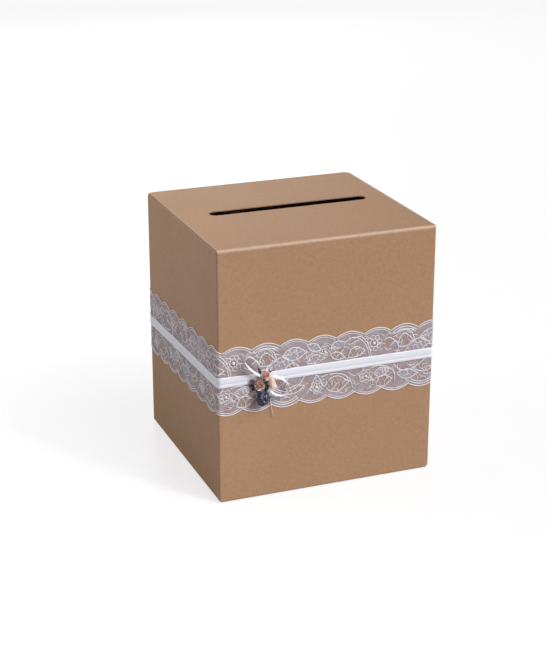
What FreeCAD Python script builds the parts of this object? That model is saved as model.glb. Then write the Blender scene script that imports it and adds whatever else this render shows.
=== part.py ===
"""Wedding card box: a tuck-top folding carton of kraft board with a lace band, a satin ribbon and a posy.

Millimetres. +Z is up, the front wall faces -Y, and the origin is the middle of the base on the table.
Each panel of the carton is a node of its own, and meets its neighbour at the end of a rounded crease.
"""

import FreeCAD
import Part

import math
import os

from FreeCAD import Vector

# Carton
WIDTH = 254.0
DEPTH = 241.0
HEIGHT = 290.0
BOARD = 1.2
CORNER_RADIUS = 2.2
CREASE_RADIUS = 2.6
BACK_CORNER_RADIUS = 5.0

# Lid and its flaps
SLOT_LENGTH = 190.0
SLOT_WIDTH = 17.0
SLOT_SETBACK = 8.0
SLOT_OFFSET = 5.0
LID_SIDE_INSET = 0.9
TUCK_LENGTH = 35.0
TUCK_LEAN_DEG = 8.0
TUCK_CORNER_RADIUS = 16.0
TUCK_SIDE_CLEARANCE = 5.0
TUCK_WALL_CLEARANCE = 0.4
DUST_SLOT_CLEARANCE = 4.0
DUST_END_CLEARANCE = 2.0
DUST_CORNER_TRIM = 18.0

# Base
SEAM_GAP = 0.6
TONGUE_LENGTH = 32.0
TONGUE_WIDTH = 60.0
TONGUE_CLEARANCE = 1.0
SIDE_FLAP_LENGTH = 84.0
SIDE_FLAP_TAPER = 22.0
LAYER_GAP = 0.1

# Glued side seam
GLUE_FLAP_WIDTH = 20.0
GLUE_FLAP_END = 14.0
GLUE_FILM = 0.15

# Lace and ribbon
LACE_HEIGHT = 77.0
LACE_CENTRE_Z = 142.0
LACE_THICKNESS = 0.5
BAND_SLIP = 9.0
RIBBON_WIDTH = 12.0
RIBBON_THICKNESS = 0.35
TAPE_THICKNESS = 0.1
TAPE_SIZE = 9.0
LACE_END_GAP = 0.6
RIBBON_LAP = 20.0

# Posy, tied over the ribbon on the front wall
POSY_X = -74.0
POSY_DROP = 3.0
POSY_Z = LACE_CENTRE_Z - POSY_DROP
BOW_RIBBON_WIDTH = 3.0
BOW_RIBBON_THICKNESS = 0.4
UPPER_ROSE_SIZE = (11.0, 9.0, 11.0)
LOWER_ROSE_SIZE = (12.0, 9.0, 12.0)
BUD_SIZE = (8.0, 7.0, 12.0)
BERRY_SIZE = (15.5, 12.0, 17.0)
SPRIG_SIZE = (7.0, 1.4, 9.0)
CURL_RADIUS = 2.2
CURL_THICKNESS = 1.1
LEAF_THICKNESS = 0.5
WIRE_DIAMETER = 0.9
THREAD_DIAMETER = 0.7

# Faces and levels that several pieces share
HALF_WIDTH = WIDTH / 2
HALF_DEPTH = DEPTH / 2
LID_UNDER = HEIGHT - BOARD
CREASE_Y = -HALF_DEPTH + CREASE_RADIUS
CREASE_X = HALF_WIDTH - CREASE_RADIUS
CORNER_START_X = HALF_WIDTH - CORNER_RADIUS
CORNER_START_Y = HALF_DEPTH - CORNER_RADIUS
TUCK_OUTER_Y = HALF_DEPTH - BOARD - TUCK_WALL_CLEARANCE
SIDE_FLAP_Z = BOARD + LAYER_GAP
LACE_OUTER = TAPE_THICKNESS + LACE_THICKNESS
RIBBON_INNER = LACE_OUTER + TAPE_THICKNESS
RIBBON_OUTER = RIBBON_INNER + RIBBON_THICKNESS
POSY_BACK_Y = -HALF_DEPTH - RIBBON_OUTER


def save(name, shape):
    """Write one node."""
    shape.exportStep("parts/" + name + ".step")


def box(corner, opposite):
    """A box between two opposite corners."""
    low = [min(pair) for pair in zip(corner, opposite)]
    size = [abs(a - b) for a, b in zip(corner, opposite)]
    return Part.makeBox(*size, Vector(*low))


def polygon_prism(points, along):
    """A flat outline of straight sides, pushed out along a vector."""
    corners = [Vector(*point) for point in points]
    return Part.Face(Part.makePolygon(corners + corners[:1])).extrude(Vector(*along))


def rounded_column(half_width, half_depth, radius, low, high):
    """A column of rectangular section with rounded vertical corners, or a flat slice of one."""
    column = box((-half_width, -half_depth, low), (half_width, half_depth, high))
    upright = [edge for edge in column.Edges if abs(edge.tangentAt(edge.FirstParameter).z) > 0.9]
    return column.makeFillet(radius, upright)


def wrap(offset, thickness, low, high):
    """A closed band round the carton, its inner side a given distance off the walls."""
    inner = rounded_column(HALF_WIDTH + offset, HALF_DEPTH + offset, CORNER_RADIUS + offset, low, high)
    reach = offset + thickness
    outer = rounded_column(HALF_WIDTH + reach, HALF_DEPTH + reach, CORNER_RADIUS + reach, low, high)
    return outer.cut(inner)


def crease(length, extra_deg=0.0):
    """A bend of board along +X, from an upright face at y=0 to a level end at z=0, or from further round."""
    centre = Vector(0, CREASE_RADIUS, -CREASE_RADIUS)
    sweep = math.radians(90 + extra_deg)

    def on_arc(radius, share):
        angle = sweep * share
        return centre + Vector(0, -radius * math.sin(angle), radius * math.cos(angle))

    def arc(radius, shares):
        return Part.Arc(*[on_arc(radius, share) for share in shares]).toShape()

    outer = CREASE_RADIUS
    inner = CREASE_RADIUS - BOARD
    outline = Part.Wire([
        arc(outer, (0, 0.5, 1)),
        Part.LineSegment(on_arc(outer, 1), on_arc(inner, 1)).toShape(),
        arc(inner, (1, 0.5, 0)),
        Part.LineSegment(on_arc(inner, 0), on_arc(outer, 0)).toShape(),
    ])
    return Part.Face(outline).extrude(Vector(length, 0, 0))


def turned(shape, degrees, axis=Vector(0, 0, 1), about=Vector(0, 0, 0)):
    """A copy of a shape, turned about a line."""
    copy = shape.copy()
    copy.rotate(about, axis, degrees)
    return copy


def moved(shape, x, y, z):
    """A copy of a shape, moved."""
    copy = shape.copy()
    copy.translate(Vector(x, y, z))
    return copy


# Each side of the carton: the turn that brings its own frame, where it is the front, to its place
SIDES = {"front": 0.0, "right": 90.0, "back": 180.0, "left": 270.0}


def side_sizes(side):
    """Half the length of a side and its distance from the middle."""
    across = side in ("front", "back")
    return (HALF_WIDTH, HALF_DEPTH) if across else (HALF_DEPTH, HALF_WIDTH)


def corner_waste(x, top, sign, radius):
    """What a panel loses where its top corner at x is rounded; sign is the side that the corner is on."""
    inside = x - sign * radius
    block = box((min(inside, x + sign), -HALF_WIDTH * 2, top - radius), (max(inside, x + sign), 0, top + 1))
    pin = Part.makeCylinder(radius, HALF_WIDTH * 2, Vector(inside, 0, top - radius), Vector(0, -1, 0))
    return block.cut(pin)


def wall(side, bottom, top, top_bend=None, rounded_ends=()):
    """One wall with half of each corner bend and its base crease, bent over at the top along top_bend."""
    half, out = side_sizes(side)
    low = bottom + CREASE_RADIUS
    high = top - CREASE_RADIUS if top_bend else top
    sleeve = rounded_column(half, out, CORNER_RADIUS, low, high).cut(
        rounded_column(half - BOARD, out - BOARD, CORNER_RADIUS - BOARD, low, high))
    depth = 4 * CREASE_RADIUS
    mitred = polygon_prism([(-half, -out, low), (half, -out, low),
                            (half - depth, -out + depth, low), (-half + depth, -out + depth, low)],
                           (0, 0, high - low))
    panel = sleeve.common(mitred)
    base_run = 2 * (half - CREASE_RADIUS)
    base_bend = moved(crease(base_run), -base_run / 2, -out, 0).mirror(Vector(0, 0, 0), Vector(0, 0, 1))
    panel = panel.fuse(moved(base_bend, 0, 0, bottom))
    if top_bend:
        start, end = top_bend
        panel = panel.fuse(moved(crease(end - start), start, -out, top))
    for sign in rounded_ends:
        panel = panel.cut(corner_waste(sign * half, high, sign, BACK_CORNER_RADIUS))
    return turned(panel.removeSplitter(), SIDES[side])


def walls():
    """The four walls. The front's top crease joins it to the lid, and the side walls' to the dust flaps."""
    lid_half = HALF_WIDTH - LID_SIDE_INSET
    near = HALF_DEPTH - CREASE_RADIUS
    far = HALF_DEPTH - BACK_CORNER_RADIUS
    save("front_wall", wall("front", 0.0, HEIGHT, (-lid_half, lid_half)))
    save("back_wall", wall("back", 0.0, LID_UNDER - LAYER_GAP, rounded_ends=(-1, 1)))
    save("right_wall", wall("right", SIDE_FLAP_Z, LID_UNDER, (-near, far), (1,)))
    save("left_wall", wall("left", SIDE_FLAP_Z, LID_UNDER, (-far, near), (-1,)))


def glued_seam():
    """The glue flap of the back wall, bent forward inside the right wall, and its film of glue."""
    outer = HALF_WIDTH - BOARD - GLUE_FILM
    back = HALF_DEPTH - CORNER_RADIUS
    front = back - GLUE_FLAP_WIDTH
    low = SIDE_FLAP_Z + CREASE_RADIUS + GLUE_FLAP_END
    high = LID_UNDER - CREASE_RADIUS - GLUE_FLAP_END
    slope = GLUE_FLAP_END / 2

    def leaf(x, thickness):
        points = [(x, back, low), (x, back, high), (x, front, high - slope), (x, front, low + slope)]
        return polygon_prism(points, (thickness, 0, 0))

    save("glue_flap", leaf(outer - BOARD, BOARD))
    save("seam_glue", leaf(outer, GLUE_FILM))


def base_flaps():
    """Two outer flaps that meet under the box, with a locking tongue, and two side flaps above them."""
    inner = HALF_WIDTH - CREASE_RADIUS
    edge = HALF_DEPTH - CREASE_RADIUS
    half_tongue = TONGUE_WIDTH / 2
    notch = half_tongue + TONGUE_CLEARANCE
    notch_depth = BOARD + 2 * TONGUE_CLEARANCE

    front = box((-inner, -edge, 0), (inner, -SEAM_GAP / 2, BOARD))
    riser_start = -SEAM_GAP / 2
    riser = box((-half_tongue, riser_start - BOARD, 0), (half_tongue, riser_start, SIDE_FLAP_Z + BOARD))
    tongue_points = [
        (-half_tongue, riser_start, SIDE_FLAP_Z), (half_tongue, riser_start, SIDE_FLAP_Z),
        (half_tongue - 10, TONGUE_LENGTH, SIDE_FLAP_Z), (-half_tongue + 10, TONGUE_LENGTH, SIDE_FLAP_Z)]
    tongue = polygon_prism(tongue_points, (0, 0, BOARD))
    save("base_flap_front", front.fuse([riser, tongue]).removeSplitter())

    back = box((-inner, SEAM_GAP / 2, 0), (inner, edge, BOARD))
    thumb_notch = box((-notch, 0, -1), (notch, notch_depth, BOARD + 1))
    save("base_flap_back", back.cut(thumb_notch))

    for name, sign in (("base_flap_left", -1), ("base_flap_right", 1)):
        start = sign * CREASE_X
        end = sign * (CREASE_X - SIDE_FLAP_LENGTH)
        half_root = HALF_DEPTH - BOARD - CREASE_RADIUS
        half_tip = half_root - SIDE_FLAP_TAPER
        points = [(start, -half_root, SIDE_FLAP_Z), (start, half_root, SIDE_FLAP_Z),
                  (end, half_tip, SIDE_FLAP_Z), (end, -half_tip, SIDE_FLAP_Z)]
        save(name, polygon_prism(points, (0, 0, BOARD)))


def lid():
    """The lid with its card slot, its back bend, the tuck flap and the two dust flaps."""
    half = HALF_WIDTH - LID_SIDE_INSET
    bend_y = TUCK_OUTER_Y - CREASE_RADIUS
    slot_y = (CREASE_Y + TUCK_OUTER_Y) / 2 + SLOT_SETBACK
    radius = SLOT_WIDTH / 2
    reach = SLOT_LENGTH / 2 - radius

    half_tuck = HALF_WIDTH - 2 * BOARD - GLUE_FILM - TUCK_SIDE_CLEARANCE
    plate = box((-half, CREASE_Y, LID_UNDER), (half, bend_y, HEIGHT))
    back_corners = [edge for edge in plate.Edges
                    if abs(edge.tangentAt(edge.FirstParameter).z) > 0.9 and edge.CenterOfMass.y > 0]
    plate = plate.makeFillet(half - half_tuck, back_corners)
    left, right = SLOT_OFFSET - reach, SLOT_OFFSET + reach
    slot = box((left, slot_y - radius, LID_UNDER - 1), (right, slot_y + radius, HEIGHT + 1))
    ends = [Part.makeCylinder(radius, BOARD + 2, Vector(x, slot_y, LID_UNDER - 1)) for x in (left, right)]
    save("lid_panel", plate.cut([slot] + ends))

    # The tuck flap leans in from its crease, so that its tip clears the back wall as the lid lifts it
    bend = moved(turned(crease(2 * half_tuck, TUCK_LEAN_DEG), 180), half_tuck, TUCK_OUTER_Y, HEIGHT)
    drop = HEIGHT - CREASE_RADIUS
    leaf = box((-half_tuck, TUCK_OUTER_Y - BOARD, drop - TUCK_LENGTH), (half_tuck, TUCK_OUTER_Y, drop))
    tips = [edge for edge in leaf.Edges
            if abs(edge.tangentAt(edge.FirstParameter).y) > 0.9 and edge.CenterOfMass.z < drop - 1]
    leaf = leaf.makeFillet(TUCK_CORNER_RADIUS, tips)
    leaf = turned(leaf, -TUCK_LEAN_DEG, Vector(1, 0, 0), Vector(0, bend_y, drop))
    save("tuck_flap", bend.fuse(leaf).removeSplitter())

    reach_in = HALF_WIDTH - SLOT_LENGTH / 2 - SLOT_OFFSET - DUST_SLOT_CLEARANCE
    front = CREASE_Y + DUST_END_CLEARANCE
    back = bend_y - TUCK_LENGTH * math.sin(math.radians(TUCK_LEAN_DEG)) - DUST_END_CLEARANCE
    for name, sign in (("dust_flap_left", -1), ("dust_flap_right", 1)):
        start = sign * CREASE_X
        end = sign * (HALF_WIDTH - reach_in)
        low = LID_UNDER - BOARD
        points = [(start, front, low), (start, back, low),
                  (end, back - DUST_CORNER_TRIM, low), (end, front + DUST_CORNER_TRIM, low)]
        save(name, polygon_prism(points, (0, 0, BOARD)))


def slip(x, y):
    """How far the bands have slipped down at a place on the walls. It is most at the back left corner."""
    if x <= -CORNER_START_X:
        return BAND_SLIP * (y + HALF_DEPTH) / DEPTH
    if y >= CORNER_START_Y:
        return BAND_SLIP * (HALF_WIDTH - x) / WIDTH
    return 0.0


def slipped_band(offset, thickness, height):
    """A band round the walls that runs level at the front and right, and sags to the back left corner."""
    low = LACE_CENTRE_Z - height / 2
    high = LACE_CENTRE_Z + height / 2
    reach = 2 * RIBBON_OUTER + CORNER_RADIUS
    level = box((-CORNER_START_X, -HALF_DEPTH - reach, low), (HALF_WIDTH + reach, CORNER_START_Y, high))
    left = polygon_prism(
        [(-HALF_WIDTH - reach, -HALF_DEPTH - reach, high), (-HALF_WIDTH - reach, -HALF_DEPTH, high),
         (-HALF_WIDTH - reach, HALF_DEPTH, high - BAND_SLIP),
         (-HALF_WIDTH - reach, HALF_DEPTH + reach, high - BAND_SLIP),
         (-HALF_WIDTH - reach, HALF_DEPTH + reach, low - BAND_SLIP),
         (-HALF_WIDTH - reach, HALF_DEPTH, low - BAND_SLIP),
         (-HALF_WIDTH - reach, -HALF_DEPTH, low), (-HALF_WIDTH - reach, -HALF_DEPTH - reach, low)],
        (HALF_WIDTH + reach - CORNER_START_X, 0, 0))
    start = slip(-CORNER_START_X + LAYER_GAP, HALF_DEPTH)
    end = slip(HALF_WIDTH + reach, HALF_DEPTH)
    back = polygon_prism(
        [(-CORNER_START_X, CORNER_START_Y, high - start), (HALF_WIDTH + reach, CORNER_START_Y, high - end),
         (HALF_WIDTH + reach, CORNER_START_Y, low - end), (-CORNER_START_X, CORNER_START_Y, low - start)],
        (0, CORNER_RADIUS + reach, 0))
    ring = wrap(offset, thickness, low - BAND_SLIP, high + BAND_SLIP)
    return ring.common(level.fuse([left, back])).removeSplitter()


def bands():
    """The lace band, whose ends meet at the back, the satin ribbon over it, and the tape under each."""
    lace = slipped_band(TAPE_THICKNESS, LACE_THICKNESS, LACE_HEIGHT)
    meeting = box((-LACE_END_GAP / 2, 0, 0), (LACE_END_GAP / 2, DEPTH, HEIGHT))
    save("lace_band", lace.cut(meeting))

    lap_y = HALF_DEPTH + RIBBON_OUTER
    lap_z = LACE_CENTRE_Z - slip(0, HALF_DEPTH)
    lap = box((-RIBBON_LAP / 2, lap_y, lap_z - RIBBON_WIDTH / 2),
              (RIBBON_LAP / 2, lap_y + RIBBON_THICKNESS, lap_z + RIBBON_WIDTH / 2))
    ribbon = slipped_band(RIBBON_INNER, RIBBON_THICKNESS, RIBBON_WIDTH)
    save("satin_ribbon", ribbon.fuse(lap).removeSplitter())

    def pads(offset):
        shapes = []
        for side, turn in SIDES.items():
            half, out = side_sizes(side)
            for x in (-half / 2, half / 2):
                pad = box((x - TAPE_SIZE / 2, -out - offset - TAPE_THICKNESS, LACE_CENTRE_Z - TAPE_SIZE / 2),
                          (x + TAPE_SIZE / 2, -out - offset, LACE_CENTRE_Z + TAPE_SIZE / 2))
                pad = turned(pad, turn)
                centre = pad.CenterOfMass
                shapes.append(moved(pad, 0, 0, -slip(centre.x, centre.y)))
        return Part.makeCompound(shapes)

    save("lace_tape", pads(0.0))
    save("ribbon_tape", pads(LACE_OUTER))


def ellipsoid(centre, sizes):
    """A closed egg of given full sizes, its long and short axes along X, Y and Z."""
    ball = Part.makeSphere(1.0)
    matrix = FreeCAD.Matrix()
    matrix.scale(sizes[0] / 2, sizes[1] / 2, sizes[2] / 2)
    egg = ball.transformGeometry(matrix)
    egg.translate(Vector(*centre))
    return egg


def strap(points, width, thickness):
    """A narrow ribbon of straight runs in an XZ plane; each point is (x, z) from the posy's middle."""
    runs = []
    for (x1, z1), (x2, z2) in zip(points[:-1], points[1:]):
        length = math.hypot(x2 - x1, z2 - z1)
        run = Part.makeBox(length + width * 0.6, thickness, width, Vector(-width * 0.3, 0, -width / 2))
        angle = math.degrees(math.atan2(z2 - z1, x2 - x1))
        run.rotate(Vector(0, 0, 0), Vector(0, 1, 0), -angle)
        run.translate(Vector(x1, 0, z1))
        runs.append(run)
    return runs[0].fuse(runs[1:]).removeSplitter()


def rod(start, end, diameter):
    """A straight round rod."""
    line = Vector(*end) - Vector(*start)
    return Part.makeCylinder(diameter / 2, line.Length, Vector(*start), line)


def posy():
    """The bow, two roses, a bud, leaves and a glittered berry, wired together over the ribbon."""

    def at(x, depth, z):
        return Vector(POSY_X + x, POSY_BACK_Y - depth, POSY_Z + z)

    def bow_piece(points, depth):
        flat = strap(points, BOW_RIBBON_WIDTH, BOW_RIBBON_THICKNESS)
        return moved(flat, POSY_X, POSY_BACK_Y - depth - BOW_RIBBON_THICKNESS, POSY_Z)

    def leaf(x, z, angle, length, width, depth=2.4):
        tip = length / 2
        side = width / 2
        outline = [(tip, 0, 0), (0, 0, side), (-tip, 0, 0), (0, 0, -side)]
        blade = polygon_prism(outline, (0, -LEAF_THICKNESS, 0))
        place = at(x, depth, z)
        return moved(turned(blade, -angle, Vector(0, 1, 0)), place.x, place.y, place.z)

    loop_left = [(-3, 4), (-14, 12), (-23, 24), (-20, 29), (-12, 25), (-5, 9)]
    loop_right = [(4, 5), (14, 1), (26, -6), (28, -12), (20, -18), (6, -11)]
    save("bow_loop_left", bow_piece(loop_left, 0.8))
    save("bow_loop_right", bow_piece(loop_right, 1.5))
    save("bow_knot", box(at(-3, 2.3, 1), at(3, 0.2, 7)))
    save("posy_glue", box(at(-3, 0.2, -6), at(3, 0.0, 7)))

    save("rose_upper", ellipsoid(at(-0.7, 7.0, 8.3), UPPER_ROSE_SIZE))
    save("rose_lower", ellipsoid(at(-9.1, 7.1, -2.8), LOWER_ROSE_SIZE))
    save("rose_bud", ellipsoid(at(5.7, 6.2, -5.6), BUD_SIZE))
    save("glitter_berry", ellipsoid(at(-4.5, 7.1, -18.4), BERRY_SIZE))
    save("posy_sprig", ellipsoid(at(-13.6, 1.6, -1.4), SPRIG_SIZE))
    leaves = [leaf(-7, 12.5, 115, 8, 3.5), leaf(5.5, 11, 60, 7, 3), leaf(-1.2, -2.5, 80, 9, 3.6)]
    save("posy_leaves", Part.makeCompound(leaves))
    wires = [rod(at(x, 3.5, 3), at(x + 0.6, 3.5, -9), WIRE_DIAMETER) for x in (-2.6, -1.3, 0.0)]
    save("stem_wires", Part.makeCompound(wires))
    curl = Part.makeTorus(CURL_RADIUS, CURL_THICKNESS / 2, at(2.5, 5.0, 15.8), Vector(0, 1, 0))
    save("ribbon_curl", curl)
    save("thread_tail", rod(at(4, 0.6, -16), at(9.6, 0.6, -44.6), THREAD_DIAMETER))


os.makedirs("parts", exist_ok=True)
walls()
glued_seam()
base_flaps()
lid()
bands()
posy()
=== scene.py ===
"""Looks of a kraft board wedding card box with a lace band, a satin ribbon and a small posy.

Sizes are in millimetres until a mesh is made, and Blender's metres from then on.
"""

from __future__ import annotations

import logging
import math
import random
from dataclasses import dataclass, field
from enum import Enum
from typing import Callable, Sequence

import bmesh
import bpy
from mathutils import Matrix, Vector, noise


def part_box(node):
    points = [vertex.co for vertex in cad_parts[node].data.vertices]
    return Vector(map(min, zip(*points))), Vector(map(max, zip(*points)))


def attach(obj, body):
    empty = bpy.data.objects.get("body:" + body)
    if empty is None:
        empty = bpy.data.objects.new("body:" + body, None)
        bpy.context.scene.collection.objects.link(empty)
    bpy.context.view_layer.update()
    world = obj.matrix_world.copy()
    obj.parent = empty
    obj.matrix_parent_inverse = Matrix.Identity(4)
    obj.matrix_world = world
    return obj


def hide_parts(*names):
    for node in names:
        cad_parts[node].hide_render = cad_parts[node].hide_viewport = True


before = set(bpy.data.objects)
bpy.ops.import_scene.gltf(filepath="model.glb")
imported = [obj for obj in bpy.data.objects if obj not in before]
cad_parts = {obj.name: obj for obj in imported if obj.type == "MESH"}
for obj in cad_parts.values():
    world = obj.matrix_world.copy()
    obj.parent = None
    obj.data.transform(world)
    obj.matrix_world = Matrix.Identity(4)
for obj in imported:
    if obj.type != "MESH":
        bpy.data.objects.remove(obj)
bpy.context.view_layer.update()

MM = 0.001
CARTON = "carton"
CORNER_BEND = 2.2
BAND_SAG = 9.0
RIBBON_WIDTH = 12.0
KNOT_RISE = 4.0
LOG = logging.getLogger("card_box")

Flat = tuple[float, float]
Colour = tuple[float, float, float]


class Slot(Enum):
    """The record's material slots; two are listed beside the greenery, but no piece takes its finish from
    them here.
    """

    LACE = "lace"
    SATIN = "satin"
    ROSE = "rose_paper"
    BUD = "bud_paper"
    BERRY = "berry_glitter"
    SPRIG = "sprig_fabric"
    LEAF = "leaf_fabric"


# ---------------------------------------------------------------- shader maths


class Wire:
    """One output socket of a shader tree, on which maths can be written as on a number."""

    def __init__(self, tree: bpy.types.NodeTree, socket: bpy.types.NodeSocket) -> None:
        """Wrap a socket of a tree."""
        self.tree = tree
        self.socket = socket

    def maths(self, operation: str, *values: "Wire | float") -> "Wire":
        """Add one Math node.

        Args:
            operation: The node's operation.
            values: What its inputs take, in order.

        Returns:
            The node's result.
        """
        node = self.tree.nodes.new("ShaderNodeMath")
        node.operation = operation
        for slot, value in zip(node.inputs, values):
            plug(self.tree, slot, value)
        return Wire(self.tree, node.outputs[0])

    def __add__(self, other: "Wire | float") -> "Wire":
        """Sum."""
        return self.maths("ADD", self, other)

    def __radd__(self, other: float) -> "Wire":
        """Sum, the other way round."""
        return self.maths("ADD", other, self)

    def __sub__(self, other: "Wire | float") -> "Wire":
        """Difference."""
        return self.maths("SUBTRACT", self, other)

    def __rsub__(self, other: float) -> "Wire":
        """Difference, the other way round."""
        return self.maths("SUBTRACT", other, self)

    def __mul__(self, other: "Wire | float") -> "Wire":
        """Product."""
        return self.maths("MULTIPLY", self, other)

    def __abs__(self) -> "Wire":
        """Size without its sign."""
        return self.maths("ABSOLUTE", self)

    def above(self, edge: float, blur: float) -> "Wire":
        """A mask that rises from 0 to 1 as the value passes an edge.

        Args:
            edge: The value at which the mask is a half.
            blur: How much of the value the rise takes.

        Returns:
            The mask.
        """
        node = self.tree.nodes.new("ShaderNodeMapRange")
        node.interpolation_type = "SMOOTHSTEP"
        settings = (self, edge - blur / 2, edge + blur / 2, 0.0, 1.0)
        for slot, value in zip(node.inputs, settings):
            plug(self.tree, slot, value)
        return Wire(self.tree, node.outputs[0])


def plug(tree: bpy.types.NodeTree, slot: bpy.types.NodeSocket, value: object) -> None:
    """Give an input a link or a plain value.

    Args:
        tree: The tree that the input is in.
        slot: The input.
        value: A Wire, a number, a colour or a vector.
    """
    if isinstance(value, Wire):
        tree.links.new(value.socket, slot)
    elif isinstance(value, (tuple, list)) and slot.type == "RGBA":
        slot.default_value = (*value[:3], 1.0)
    else:
        slot.default_value = value


class Paint:
    """A material under construction: one Principled shader and the nodes that feed it."""

    def __init__(self, name: str) -> None:
        """Start an empty material.

        Args:
            name: The material's name.
        """
        self.material = bpy.data.materials.new(name)
        self.material.use_nodes = True
        self.tree = self.material.node_tree
        self.shader = self.tree.nodes["Principled BSDF"]

    def node(self, kind: str, settings: dict[str, object] | None = None,
             inputs: dict[str | int, object] | None = None, output: int | str = 0) -> Wire:
        """Add any node.

        Args:
            kind: The node's type.
            settings: Properties to set first.
            inputs: What its inputs take, by name or number.
            output: The output to return.

        Returns:
            That output.
        """
        node = self.tree.nodes.new(kind)
        for name, value in (settings or {}).items():
            setattr(node, name, value)
        for name, value in (inputs or {}).items():
            plug(self.tree, node.inputs[name], value)
        return Wire(self.tree, node.outputs[output])

    def place(self, stretch: tuple[float, float, float] = (1, 1, 1)) -> Wire:
        """Object coordinates in metres, stretched along each axis."""
        where = self.node("ShaderNodeTexCoord", output="Object")
        return self.node("ShaderNodeMapping", inputs={"Vector": where, "Scale": stretch})

    def axes(self, vector: Wire) -> tuple[Wire, Wire, Wire]:
        """Take a vector apart.

        Args:
            vector: The vector.

        Returns:
            Its three parts.
        """
        parts = self.tree.nodes.new("ShaderNodeSeparateXYZ")
        plug(self.tree, parts.inputs[0], vector)
        return tuple(Wire(self.tree, out) for out in parts.outputs)

    def noise(self, where: Wire, size_mm: float, detail: float = 3.0, rough: float = 0.5) -> Wire:
        """Cloudy noise.

        Args:
            where: The coordinates, in metres.
            size_mm: The size of one cloud.
            detail: How many finer layers it has.
            rough: How strong the finer layers are.

        Returns:
            A value about a half.
        """
        scale = 1.0 / (size_mm * MM)
        return self.node("ShaderNodeTexNoise", inputs={
            "Vector": where, "Scale": scale, "Detail": detail, "Roughness": rough})

    def cells(self, where: Wire, size_mm: float, output: str = "Distance") -> Wire:
        """Round cells of a given size."""
        return self.node("ShaderNodeTexVoronoi", inputs={"Vector": where, "Scale": 1.0 / (size_mm * MM)},
                         output=output)

    def attribute(self, name: str) -> Wire:
        """A mesh attribute's value at each point."""
        return self.node("ShaderNodeAttribute", {"attribute_name": name}, output="Fac")

    def mix(self, share: Wire | float, first: Wire | Colour, second: Wire | Colour) -> Wire:
        """Blend two colours.

        Args:
            share: How much of the second there is.
            first: One colour.
            second: The other.

        Returns:
            The blend.
        """
        node = self.tree.nodes.new("ShaderNodeMix")
        node.data_type = "RGBA"
        plug(self.tree, node.inputs[0], share)
        plug(self.tree, node.inputs[6], first)
        plug(self.tree, node.inputs[7], second)
        return Wire(self.tree, node.outputs[2])

    def bump(self, height: Wire, depth_mm: float, strength: float = 1.0) -> Wire:
        """A normal from a height.

        Args:
            height: The height, where 1 is one depth.
            depth_mm: The depth.
            strength: How much of the effect shows.

        Returns:
            The normal.
        """
        return self.node("ShaderNodeBump", inputs={
            "Height": height, "Distance": depth_mm * MM, "Strength": strength})

    def dress(self, **inputs: object) -> bpy.types.Material:
        """Set the shader's inputs.

        Args:
            inputs: What they take, with the spaces in their names written as underscores.

        Returns:
            The finished material.
        """
        for name, value in inputs.items():
            plug(self.tree, self.shader.inputs[name.replace("_", " ")], value)
        return self.material


# ---------------------------------------------------------------- finishes


@dataclass(frozen=True)
class KraftFinish:
    """Kraft board: short fibres, fine specks, soft clouds, and paler top creases, partly board rubbed paler
    where it was folded and partly a painted highlight along the folds.
    """

    name: str
    colour: Colour
    dark: Colour
    pale: Colour
    roughness: float
    half_width: float
    half_depth: float
    height: float
    crease: float = 2.5
    # the paler colour of the top creases: board rubbed in folding, with a painted highlight on the folds
    crease_rub_and_highlight: Colour = (0.74, 0.57, 0.47)
    # whether the top creases are painted paler, with rubbed board and a painted highlight
    creased: bool = True

    def make(self) -> bpy.types.Material:
        """Build the material.

        Returns:
            The material.
        """
        paint = Paint(self.name)
        where = paint.place()
        clouds = paint.noise(where, 70.0, 2.0)
        mottle = paint.noise(where, 5.0, 4.0, 0.6)
        fibres = paint.noise(paint.place((1.0, 1.0, 0.25)), 0.9, 2.0, 0.6)
        specks = paint.cells(where, 3.2)
        blotch = paint.noise(where, 2.2, 1.0)

        light = (clouds - 0.5) * 0.5 + (mottle - 0.5) * 1.4 + (blotch - 0.5) * 1.0 + (fibres - 0.5) * 1.5
        tone = paint.mix((light * 0.5 + 0.5).above(0.5, 1.0), self.dark, self.pale)
        colour = paint.mix(0.5, self.colour, tone)
        fleck = (1.0 - specks.above(0.16, 0.1)) * blotch.above(0.56, 0.06)
        colour = paint.mix(fleck * 0.45, colour, self.dark)
        rough = (fibres - 0.5) * 0.16 + self.roughness
        # paint the top creases paler: partly board rubbed in folding, partly a painted highlight, in patches
        if self.creased:
            crease_rub_and_highlight = self.creases(paint)
            patchy_rub_and_highlight = crease_rub_and_highlight * paint.noise(where, 4.0, 4.0, 0.7).above(0.42, 0.3)
            colour = paint.mix(crease_rub_and_highlight * 0.3 + patchy_rub_and_highlight * 0.2, colour, self.crease_rub_and_highlight)
            rough = rough + crease_rub_and_highlight * 0.05
        surface = fibres * 0.5 + mottle * 0.7
        normal = paint.bump(surface, 0.05, 0.5)
        return paint.dress(Base_Color=colour, Roughness=rough, Normal=normal, IOR=1.45)

    def creases(self, paint: Paint) -> Wire:
        """A mask of the carton's folded top edges, which take the rubbed paler board and the painted
        highlight.

        Args:
            paint: The material under construction.

        Returns:
            1 on a fold, 0 away from it.
        """
        x, y, z = paint.axes(paint.node("ShaderNodeTexCoord", output="Object"))
        near = self.crease * MM
        side = abs(x).above(self.half_width * MM - near, near)
        front = abs(y).above(self.half_depth * MM - near, near)
        top = z.above(self.height * MM - near * 1.2, near)
        # the front and back folds take the full painted highlight, the side folds less of it
        return front.maths("MAXIMUM", side * top * 0.45, front * top)


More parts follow.
